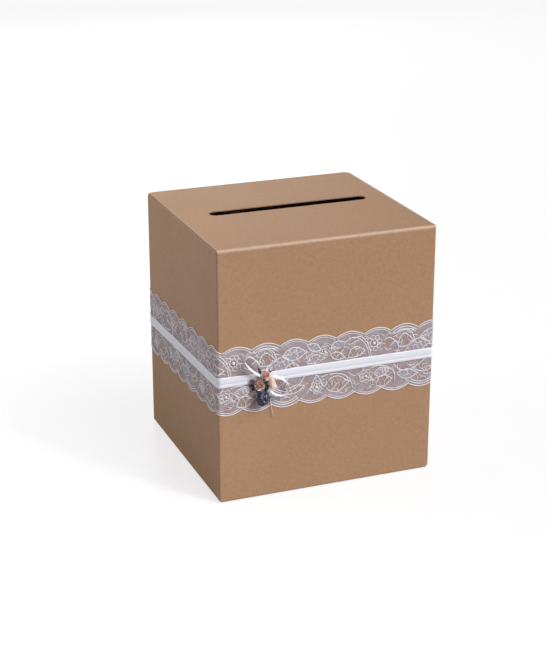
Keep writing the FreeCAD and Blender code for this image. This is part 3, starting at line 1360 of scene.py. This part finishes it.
@dataclass
class SatinRibbon:
    """The satin ribbon over the lace, folded once along its length and lapped at the back."""

    girth: Girth
    width: float
    lap: float = 20.0
    climb: float = 3.0
    lap_rise: float = 0.4
    lift: float = 0.95
    thickness: float = 0.22
    posy_way: float = 50.0
    step: float = 2.2
    seed: int = 7
    profile: tuple[tuple[float, float], ...] = (
        (1.0, -0.25), (0.8, 0.0), (0.45, 0.14), (0.1, 0.16), (-0.18, 0.08), (-0.29, -0.2), (-0.36, -0.26),
        (-0.44, 0.02), (-0.7, 0.1), (-0.9, 0.0), (-1.0, -0.22))

    def build(self, finish: bpy.types.Material) -> None:
        """Build the ribbon.

        Args:
            finish: The satin.
        """
        sketch = Sketch()
        low = self.girth.back_middle - self.girth.length - self.lap / 2
        high = self.girth.back_middle + self.lap / 2
        steps = round((high - low) / self.step)
        waves = self.ripples()
        rows = []
        for i in range(steps + 1):
            way = low + (high - low) * i / steps
            climbed = (way - (high - self.lap - self.climb)) / self.climb
            over = min(1.0, max(0.0, climbed)) * self.lap_rise
            rows.append([])
            for across, height in self.profile:
                sway, swell = waves(way, across)
                up = across * self.width / 2 + sway
                lift = self.lift + height * 0.9 + swell + over
                rows[-1].append(sketch.add(self.girth.at(way, up, lift), (way, up)))
        sketch.weave(rows)
        ribbon = sketch.make("satin_ribbon_band")
        finish_with(ribbon, "SOLIDIFY", thickness=self.thickness * MM, offset=0.0)
        ribbon.data.materials.append(finish)
        stand_for(ribbon, "satin_ribbon")
        self.width * MM
        (high - low) * MM

    def ripples(self) -> Callable[[float, float], Flat]:
        """Draw the small unevenness of the pulled ribbon, stronger where the posy is tied on.

        Returns:
            A function that gives the sideways and outward shift at a place along and across the ribbon.
        """
        draw = random.Random(self.seed)
        parts = [(draw.uniform(0.02, 0.16), draw.uniform(0, math.tau), draw.uniform(0.3, 1.0))
                 for _ in range(9)]

        def at(way: float, across: float) -> Flat:
            """The shift at one place.

            Args:
                way: How far along the band.
                across: How far across the ribbon, from -1 to 1.

            Returns:
                How far it lies sideways and outward of its even place.
            """
            wave = sum(size * math.sin(way * rate + phase + across * 0.8) for rate, phase, size in parts) / 6
            near = math.exp(-((way - self.posy_way) / 22) ** 2)
            pucker = near * 0.22 * math.sin(way * 0.9 + across * 2.0)
            return wave * 0.16 - near * across * 0.9, abs(wave) * 0.1 + pucker + near * 0.15

        return at


@dataclass(frozen=True)
class BowPoint:
    """A point that a bow ribbon passes: beside and above the posy's middle, off the ribbon, and its roll."""

    x: float
    off: float
    z: float
    roll: float


@dataclass(frozen=True)
class LeafSpot:
    """A leaf's place beside, off and above the posy's middle, its turn, its length and its lean."""

    x: float
    off: float
    z: float
    turn: float
    length: float
    lean: float


@dataclass
class Posy:
    """The bow, roses, bud, leaves and berry that are wired together over the ribbon."""

    middle: Vector
    bow_width: float = 3.0
    bow_thickness: float = 0.25
    curl_width: float = 2.2
    grain_count: int = 190
    seed: int = 11
    left_loop: tuple[BowPoint, ...] = (
        BowPoint(-1, 2.6, 3.5, 10), BowPoint(-7, 3.4, 7.5, 15), BowPoint(-15, 4.8, 13.5, 25),
        BowPoint(-22, 6.0, 21, 45), BowPoint(-25.5, 6.6, 28, 80), BowPoint(-22.5, 6.4, 33, 100),
        BowPoint(-16, 5.6, 30.5, 95), BowPoint(-10, 4.4, 22, 85), BowPoint(-6, 3.2, 12, 80),
        BowPoint(-2, 2.4, 5, 60))
    right_loop: tuple[BowPoint, ...] = (
        BowPoint(1, 2.6, 5, 0), BowPoint(8, 3.8, 5, -10), BowPoint(16, 4.6, 1.5, -15),
        BowPoint(23, 5.0, -4, -40), BowPoint(26.5, 4.8, -10.5, -85), BowPoint(25, 4.6, -16, -125),
        BowPoint(19, 4.4, -19, -150), BowPoint(12, 4.2, -17.5, -155), BowPoint(6, 3.6, -13, -150),
        BowPoint(1, 2.4, -5, -140))
    curl: tuple[BowPoint, ...] = (
        BowPoint(0.6, 6.8, 12.5, 20), BowPoint(-0.6, 7.4, 15.6, 25), BowPoint(1.2, 8.0, 18.8, 30),
        BowPoint(4.4, 7.8, 18.8, 30), BowPoint(5.4, 7.2, 15.8, 25), BowPoint(3.6, 6.6, 12.6, 20))
    leaves: tuple[LeafSpot, ...] = (
        LeafSpot(-7, 3.2, 12.5, 115, 8, 10), LeafSpot(5.8, 3.4, 11.5, 55, 7, -10),
        LeafSpot(-1.5, 3.6, 0.5, 150, 9, 20), LeafSpot(-0.5, 6.2, -4.5, 95, 10, 15),
        LeafSpot(0.8, 4.2, -8.5, 60, 8, -15), LeafSpot(-3.2, 8.2, 3.0, 140, 6, 20))
    sprigs: tuple[LeafSpot, ...] = (
        LeafSpot(-14.5, 2.4, 1.5, 150, 8, 20), LeafSpot(-15.2, 2.6, -3.0, 185, 8, -20),
        LeafSpot(-13.5, 2.2, -7.0, 225, 8, 10), LeafSpot(-14.0, 4.4, -1.0, 170, 6, 35))

    def at(self, x: float, off: float, z: float) -> Vector:
        """A place by the posy's middle, in millimetres."""
        return self.middle + Vector((x, -off, z))

    def build(self, satin: bpy.types.Material) -> None:
        """Build and dress every piece.

        Args:
            satin: The bow's finish.
        """
        for name, node, route, width in (
                ("bow_ribbon_left", "bow_loop_left", self.left_loop, self.bow_width),
                ("bow_ribbon_right", "bow_loop_right", self.right_loop, self.bow_width),
                ("bow_ribbon_curl", "ribbon_curl", self.curl, self.curl_width)):
            stand_for(self.strip(name, route, width, satin), node)
        self.knot(satin)
        rose = PetalFinish("rose petals", (0.80, 0.44, 0.40), (0.94, 0.76, 0.68), (0.97, 0.91, 0.85)).make()
        pale = PetalFinish("bud petals", (0.78, 0.50, 0.42), (0.86, 0.68, 0.55), (0.90, 0.80, 0.68)).make()
        self.rose("paper_rose_upper", "rose_upper", self.at(-0.7, 6.6, 7.6), 6.4,
                  Vector((0.15, -1, 0.35)), rose)
        self.rose("paper_rose_lower", "rose_lower", self.at(-8.6, 6.6, -3.2), 6.7,
                  Vector((-0.35, -1, 0.05)), rose)
        self.bud("paper_bud", self.at(3.6, 6.4, 4.5), 4.6, 14.0, Vector((0.26, -0.2, -1)), pale)
        self.berry()
        self.greenery()

    def strip(self, name: str, route: Sequence[BowPoint], width: float,
              finish: bpy.types.Material) -> bpy.types.Object:
        """A narrow ribbon along a curved route.

        Args:
            name: The piece's name.
            route: The points that it passes.
            width: Its width.
            finish: Its material.

        Returns:
            The ribbon.
        """
        sides = smooth_line([(p.x, p.z) for p in route], 0.8)
        others = []
        spread = smooth_line([(p.off, p.roll) for p in route], 1.0)
        for i in range(len(sides)):
            share = i / (len(sides) - 1) * (len(spread) - 1)
            low = min(int(share), len(spread) - 2)
            part = share - low
            others.append(tuple(spread[low][n] * (1 - part) + spread[low + 1][n] * part for n in (0, 1)))
        sketch = Sketch()
        rows = []
        along = 0.0
        for i, ((x, z), (off, roll)) in enumerate(zip(sides, others)):
            before, after = sides[max(0, i - 1)], sides[min(len(sides) - 1, i + 1)]
            run = Vector((after[0] - before[0], 0, after[1] - before[1])).normalized()
            along += math.dist(before, (x, z))
            flat = Vector((-run.z, 0, run.x))
            turn = math.radians(roll)
            across = flat * math.cos(turn) + Vector((0, -1, 0)) * math.sin(turn)
            hollow = run.cross(across)
            rows.append([])
            for share in (-1.0, -0.5, 0.0, 0.5, 1.0):
                point = self.at(x, off, z) + across * share * width / 2 + hollow * (share * share) * 0.2
                rows[-1].append(sketch.add(point, (along, share * width / 2)))
        sketch.weave(rows)
        ribbon = sketch.make(name)
        finish_with(ribbon, "SOLIDIFY", thickness=self.bow_thickness * MM, offset=0.0)
        subdivided(ribbon, 1)
        ribbon.data.materials.append(finish)
        return ribbon

    def knot(self, finish: bpy.types.Material) -> None:
        """The bow's knot: a rounded block, pinched round its middle and creased by its own turns.

        Args:
            finish: Its material.
        """
        knot = shaped(bpy.ops.mesh.primitive_cube_add, size=1.0)
        pick(knot, lambda point: True)
        bpy.ops.transform.resize(value=(6.0, 2.2, 5.6))
        bpy.ops.mesh.subdivide(number_cuts=3)
        pick(knot, lambda point: abs(point.x) < 1.6)
        bpy.ops.transform.resize(value=(1.0, 1.35, 0.72))
        pick(knot, lambda point: abs(point.x) < 0.1)
        bpy.ops.transform.resize(value=(1.0, 1.1, 1.08))
        bpy.ops.object.mode_set(mode="OBJECT")
        subdivided(knot, 2)
        knot.data.transform(Matrix.Translation(self.at(0, 1.5, 4) * MM) @ Matrix.Diagonal((MM, MM, MM, 1)))
        knot.name = "bow_ribbon_knot"
        knot.data.uv_layers[0].name = "along"
        knot.data.materials.append(finish)
        stand_for(knot, "bow_knot")

    def petal(self) -> bpy.types.Object:
        """One petal: a cup cut from a ball and flared at its lip. Its foot is at the origin.

        Returns:
            The petal, to be copied.
        """
        cup = shaped(bpy.ops.mesh.primitive_uv_sphere_add, segments=24, ring_count=14, radius=1.0)
        cuts = (((0, 0.05, 0), (0, -1, 0.12)), ((0, 0, 0.62), (0, 0.25, 1)),
                ((0.82, 0, 0), (1, 0, 0.25)), ((-0.82, 0, 0), (-1, 0, 0.25)))
        for place, normal in cuts:
            pick(cup, lambda point: True)
            bpy.ops.mesh.bisect(plane_co=place, plane_no=normal, clear_outer=True)
        pick(cup, lambda point: point.z > 0.3)
        bpy.ops.transform.translate(value=(0, 0.16, 0.03))
        pick(cup, lambda point: point.z > 0.5)
        bpy.ops.transform.translate(value=(0, 0.16, 0.0))
        bpy.ops.object.mode_set(mode="OBJECT")
        cup.data.transform(Matrix.Translation((0, -0.1, 1.0)))
        finish_with(cup, "SOLIDIFY", thickness=0.045, offset=0.0)
        return cup

    def rose(self, name: str, node: str, centre: Vector, radius: float, axis: Vector,
             finish: bpy.types.Material) -> None:
        """A rose of paper petals in three rings round a tight heart.

        Args:
            name: The piece's name.
            node: The node that it stands for.
            centre: Its middle, in millimetres.
            radius: Its radius.
            axis: The way it faces.
            finish: Its material.
        """
        draw = random.Random(name)
        model = self.petal()
        petals = []
        rings = ((3, 0.26, 0.74, -6, 0.34), (4, 0.42, 0.80, 8, 0.14), (5, 0.60, 0.88, 30, -0.05),
                 (5, 0.74, 0.95, 55, -0.22))
        for ring, (count, wide, tall, lean, rise) in enumerate(rings):
            for i in range(count):
                spin = math.tau * (i + ring * 0.37) / count + draw.uniform(-0.15, 0.15)
                tilt = Matrix.Rotation(-math.radians(lean + draw.uniform(-6, 6)), 4, "X")
                shape = Matrix.Diagonal((wide * draw.uniform(0.95, 1.1), wide,
                                         tall * draw.uniform(0.55, 0.62), 1))
                petals.append(copied(model, Matrix.Rotation(spin, 4, "Z")
                                     @ Matrix.Translation((0, 0, rise - 0.45)) @ tilt @ shape))
        discard(model)
        rose = joined(petals, name)
        subdivided(rose, 1)
        note_bloom(rose, lambda point: min(1.0, math.hypot(point.x, point.y) * 0.95))
        whole = Matrix.Translation(centre * MM) @ aimed(axis) @ Matrix.Scale(radius * MM, 4)
        rose.data.transform(whole)
        rose.data.materials.append(finish)
        stand_for(rose, node)

    def bud(self, name: str, foot: Vector, radius: float, length: float, axis: Vector,
            finish: bpy.types.Material) -> None:
        """A half-open bud of long petals.

        Args:
            name: The piece's name.
            foot: Where it starts, in millimetres.
            radius: Its radius.
            length: Its length.
            axis: The way it points.
            finish: Its material.
        """
        model = self.petal()
        petals = []
        for ring, (count, wide, lean) in enumerate(((3, 0.5, -6), (4, 0.74, 4))):
            for i in range(count):
                spin = math.tau * (i + ring * 0.5) / count
                shape = Matrix.Diagonal((wide * 1.1, wide, 0.62, 1))
                tilt = Matrix.Rotation(-math.radians(lean), 4, "X")
                petals.append(copied(model, Matrix.Rotation(spin, 4, "Z") @ tilt @ shape))
        discard(model)
        bud = joined(petals, name)
        subdivided(bud, 1)
        note_bloom(bud, lambda point: min(1.0, max(0.0, 0.2 + point.z * 0.8)))
        size = Matrix.Diagonal((radius * MM * 1.1, radius * MM * 1.1, length * MM * 0.95, 1))
        bud.data.transform(Matrix.Translation(foot * MM) @ aimed(axis) @ size)
        bud.data.materials.append(finish)
        stand_for(bud, "rose_bud")

    def berry(self) -> None:
        """The berry: a core covered in small grains of glitter, with a few larger ones."""
        finish = GlitterFinish("berry glitter", (0.02, 0.02, 0.035), (0.08, 0.09, 0.16),
                               (0.50, 0.47, 0.58)).make()
        low, high = (Vector(corner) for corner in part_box("glitter_berry"))
        centre, radii = (low + high) / 2, (high - low) / 2
        core = shaped(bpy.ops.mesh.primitive_ico_sphere_add, subdivisions=4, radius=1.0)
        core.data.transform(Matrix.Translation(centre) @ Matrix.Diagonal((*(radii * 0.88), 1)))
        grain = shaped(bpy.ops.mesh.primitive_ico_sphere_add, subdivisions=2, radius=1.0)
        draw = random.Random(self.seed)
        grains = [core]
        for i in range(self.grain_count):
            level = 1 - 2 * (i + 0.5) / self.grain_count
            turn = i * math.pi * (3 - math.sqrt(5)) + draw.uniform(-0.12, 0.12)
            flat = math.sqrt(1 - level * level)
            out = Vector((flat * math.cos(turn), flat * math.sin(turn), level))
            size = draw.uniform(0.6, 1.5) * MM
            place = centre + Vector(out[k] * radii[k] * 0.9 for k in range(3))
            squash = Matrix.Diagonal((size, size * draw.uniform(0.7, 1.0), size * draw.uniform(0.7, 1.0), 1))
            grains.append(copied(grain, Matrix.Translation(place) @ squash))
        discard(grain)
        berry = joined(grains, "berry_grains")
        bpy.ops.object.shade_smooth()
        berry.data.materials.append(finish)
        stand_for(berry, "glitter_berry")

    def blade(self) -> bpy.types.Object:
        """One leaf: a disc drawn out to two points and folded along its rib, one unit long.

        Returns:
            The leaf, to be copied.
        """
        leaf = shaped(bpy.ops.mesh.primitive_circle_add, vertices=16, radius=0.5, fill_type="TRIFAN")
        pick(leaf, lambda point: True)
        bpy.ops.transform.resize(value=(1.0, 0.42, 1.0))
        bpy.ops.mesh.subdivide(number_cuts=1)
        pick(leaf, lambda point: abs(point.x) > 0.42)
        bpy.ops.transform.resize(value=(1.12, 0.35, 1.0))
        pick(leaf, lambda point: abs(point.y) < 0.02)
        bpy.ops.transform.translate(value=(0, 0, -0.06))
        bpy.ops.object.mode_set(mode="OBJECT")
        finish_with(leaf, "SOLIDIFY", thickness=0.035, offset=0.0)
        return leaf

    def greenery(self) -> None:
        """The dark leaves between the flowers, and the plum sprig beside the lower rose."""
        green = PlainFinish("leaf green", (0.055, 0.075, 0.03), (0.015, 0.02, 0.01), 0.6, 0.8).make()
        plum = PlainFinish("sprig plum", (0.10, 0.04, 0.07), (0.03, 0.012, 0.022), 0.6, 0.7).make()
        model = self.blade()
        for spots, name, node, slot, finish in (
                (self.leaves, "posy_leaf_cluster", "posy_leaves", Slot.LEAF, green),
                (self.sprigs, "posy_sprig_tuft", "posy_sprig", Slot.SPRIG, plum)):
            cluster = joined([copied(model, self.leaf_place(spot)) for spot in spots], name)
            subdivided(cluster, 1)
            cluster.data.materials.append(finish)
            stand_for(cluster, node)
        discard(model)

    def leaf_place(self, spot: LeafSpot) -> Matrix:
        """Where one leaf goes.

        Args:
            spot: The leaf's place.

        Returns:
            The move, turn and scale from the leaf model.
        """
        return (Matrix.Translation(self.at(spot.x, spot.off, spot.z) * MM)
                @ Matrix.Rotation(math.radians(-spot.turn), 4, "Y")
                @ Matrix.Rotation(math.radians(spot.lean), 4, "X")
                @ Matrix.Rotation(math.pi / 2, 4, "X") @ Matrix.Scale(spot.length * MM, 4))


# ---------------------------------------------------------------- stage


@dataclass
class Studio:
    """A pale floor, soft light and the camera."""

    azimuth: float = -21.35
    elevation: float = 20.57
    distance: float = 1.9254
    shift_right: float = -0.01528
    shift_up: float = 0.13982
    lens: float = 89.87
    floor_gap: float = 0.0004

    def build(self) -> None:
        """Build the floor, the lights and the camera."""
        self.floor()
        self.lights()
        self.camera()
        bpy.context.scene.view_settings.view_transform = "Standard"

    def floor(self) -> None:
        """A wide pale floor with a faint gloss."""
        floor = shaped(bpy.ops.mesh.primitive_plane_add, size=8.0, location=(0, 0, -self.floor_gap))
        floor.name = "studio_floor"
        bpy.ops.object.transform_apply(location=True)
        paint = Paint("studio floor")
        where = paint.place()
        grain = paint.noise(where, 40.0, 2.0)
        colour = paint.mix(grain, (0.37, 0.37, 0.375), (0.39, 0.39, 0.395))
        seen = paint.node("ShaderNodeLightPath", output="Is Camera Ray")
        glow = paint.mix(seen, (0.10, 0.09, 0.085), (0.67, 0.67, 0.675))
        floor.data.materials.append(paint.dress(
            Base_Color=colour, Roughness=0.25, IOR=1.25, Emission_Color=glow, Emission_Strength=1.0))

    def lights(self) -> None:
        """A bright room, a wide sun and a sharper one from the right front, and two soft lights behind."""
        world = bpy.data.worlds.new("studio")
        world.use_nodes = True
        background = world.node_tree.nodes["Background"]
        background.inputs["Color"].default_value = (1.0, 1.0, 1.0, 1.0)
        background.inputs["Strength"].default_value = 0.18
        bpy.context.scene.world = world
        self.sun("key", (0.60, -0.66, 0.66), 1.9, 60.0)
        self.sun("edge", (0.50, -0.66, 0.70), 1.2, 12.0)
        self.area("fill", (-0.95, 0.35, 0.75), 0.7, 4.3)
        self.area("rim", (0.5, 2.6, 1.1), 1.6, 7.0)

    def sun(self, name: str, towards: tuple[float, float, float], power: float, spread: float) -> None:
        """Light the whole room evenly from one side.

        Args:
            name: The light's name.
            towards: The way to the light.
            power: What it gives a surface that faces it, in watts per square metre.
            spread: How wide it is, in degrees, which softens its shadow.
        """
        data = bpy.data.lights.new(name, "SUN")
        data.energy = power
        data.angle = math.radians(spread)
        light = bpy.data.objects.new(name, data)
        light.rotation_euler = (-Vector(towards)).to_track_quat("-Z", "Y").to_euler()
        bpy.context.scene.collection.objects.link(light)

    def area(self, name: str, place: tuple[float, float, float], size: float, power: float) -> None:
        """Hang one soft light that faces the box.

        Args:
            name: Its name.
            place: Where it hangs, in metres.
            size: The length of its side, in metres.
            power: Its power in watts.
        """
        data = bpy.data.lights.new(name, "AREA")
        data.size = size
        data.energy = power
        light = bpy.data.objects.new(name, data)
        light.location = place
        aim = Vector((0, 0, 0.15)) - Vector(place)
        light.rotation_euler = aim.to_track_quat("-Z", "Y").to_euler()
        bpy.context.scene.collection.objects.link(light)

    def camera(self) -> None:
        """Set the camera up, looking down on the front left corner."""
        turn, tilt = math.radians(self.azimuth), math.radians(self.elevation)
        back = Vector((math.sin(turn) * math.cos(tilt), -math.cos(turn) * math.cos(tilt), math.sin(tilt)))
        right = (-back).cross(Vector((0, 0, 1))).normalized()
        up = right.cross(-back)
        data = bpy.data.cameras.new("camera")
        data.lens = self.lens
        data.sensor_width = 36.0
        camera = bpy.data.objects.new("camera", data)
        basis = Matrix((right, up, back)).transposed().to_4x4()
        place = back * self.distance + right * self.shift_right + up * self.shift_up
        camera.matrix_world = Matrix.Translation(place) @ basis
        bpy.context.scene.collection.objects.link(camera)
        bpy.context.scene.camera = camera


# ---------------------------------------------------------------- carton


@dataclass
class Carton:
    """The board panels, which keep their shapes and get their finish here."""

    half_width: float
    half_depth: float
    height: float
    outside: tuple[str, ...] = ("front_wall", "left_wall", "right_wall", "back_wall", "lid_panel",
                                "tuck_flap", "base_flap_front", "base_flap_back")
    inside: tuple[str, ...] = ("glue_flap", "base_flap_left", "base_flap_right", "dust_flap_left",
                               "dust_flap_right")

    def dress(self) -> None:
        """Give every board panel its finish."""
        sizes = (self.half_width, self.half_depth, self.height)
        outer = KraftFinish("kraft board", (0.43, 0.245, 0.135), (0.33, 0.18, 0.09), (0.56, 0.35, 0.215),
                            0.5, *sizes).make()
        inner = KraftFinish("kraft board inside", (0.46, 0.31, 0.20), (0.36, 0.22, 0.13), (0.58, 0.42, 0.29),
                            0.8, *sizes, creased=False).make()
        for names, finish in ((self.outside, outer), (self.inside, inner)):
            for name in names:
                paint_node(name, finish)


def paint_node(name: str, finish: bpy.types.Material) -> None:
    """Give a designed part a finish.

    Args:
        name: The node's name.
        finish: The material.
    """
    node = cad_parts[name]
    node.data.materials.clear()
    node.data.materials.append(finish)
    LOG.info("dressed %s", name)


def dress_fittings() -> None:
    """Give the tape, glue, wires and thread their finishes."""
    tape = PlainFinish("tape", (0.78, 0.78, 0.74), (0.70, 0.70, 0.66), 0.35, 3.0).make()
    glue = PlainFinish("dried glue", (0.74, 0.68, 0.55), (0.62, 0.56, 0.44), 0.3, 2.0).make()
    wire = PlainFinish("stem tape", (0.06, 0.08, 0.03), (0.02, 0.03, 0.012), 0.7, 0.6).make()
    thread = ThreadFinish("waxed thread", (0.80, 0.68, 0.48), (0.68, 0.54, 0.36), 0.5).make()
    for finish, names in ((tape, ("lace_tape", "ribbon_tape")), (glue, ("seam_glue", "posy_glue")),
                          (wire, ("stem_wires",)), (thread, ("thread_tail",))):
        for name in names:
            paint_node(name, finish)


def main() -> None:
    """Build every piece of the box's looks."""
    logging.basicConfig(level=logging.INFO, format="%(name)s: %(message)s")
    wall_low, wall_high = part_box("front_wall")
    side_low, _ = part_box("left_wall")
    lace_low, lace_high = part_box("lace_band")
    half_width = -side_low[0] / MM
    half_depth = -wall_low[1] / MM
    Studio().build()
    Carton(half_width, half_depth, wall_high[2] / MM).dress()
    band = (lace_high[2] - lace_low[2]) / MM - BAND_SAG
    girth = Girth(half_width, half_depth, CORNER_BEND, lace_high[2] / MM - band / 2, BAND_SAG)
    LaceBand(girth, band).build()
    satin = SatinFinish("white satin", (0.90, 0.91, 0.98), (0.79, 0.80, 0.90)).make()
    SatinRibbon(girth, RIBBON_WIDTH).build(satin)
    knot_low, knot_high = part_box("bow_knot")
    middle = Vector(((knot_low[0] + knot_high[0]) / 2, knot_high[1],
                     (knot_low[2] + knot_high[2]) / 2 - KNOT_RISE * MM))
    Posy(middle / MM).build(satin)
    dress_fittings()


if __name__ == "__main__":
    main()
